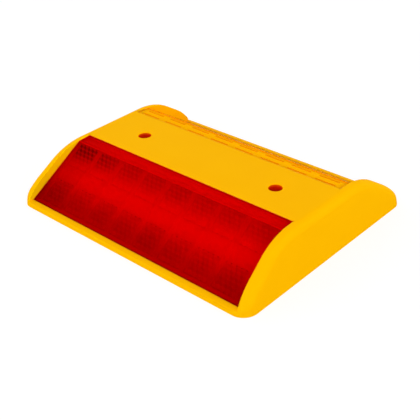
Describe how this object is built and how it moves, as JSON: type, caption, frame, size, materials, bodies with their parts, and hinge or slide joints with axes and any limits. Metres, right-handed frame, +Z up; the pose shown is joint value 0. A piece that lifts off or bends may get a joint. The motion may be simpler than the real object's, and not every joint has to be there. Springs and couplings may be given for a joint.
{
  "type": "flexible road stud",
  "caption": "Low crowned flexible road stud with a bonded prism reflector on each slope, raised end wings and nail holes through its flat top.",
  "frame": {"origin": "middle of the footprint, on the road surface", "axes": "+X across the traffic along the stud's length, -Y towards the red reflector, +Z up from the road"},
  "size_m": [0.125, 0.099, 0.0202],
  "materials": {
    "body": "yellow moulded polyurethane, satin",
    "front_lens": "red moulded acrylic, clear gloss",
    "rear_lens": "amber moulded acrylic, clear gloss",
    "backing": "off-white moulded tray, matt",
    "bond": "cured flexible adhesive, matt"
  },
  "bodies": {
    "root": {"body": "body", "front_lens": "front_lens", "front_backing": "backing", "front_bond": "bond", "rear_lens": "rear_lens", "rear_backing": "backing", "rear_bond": "bond"}
  },
  "joints": []
}
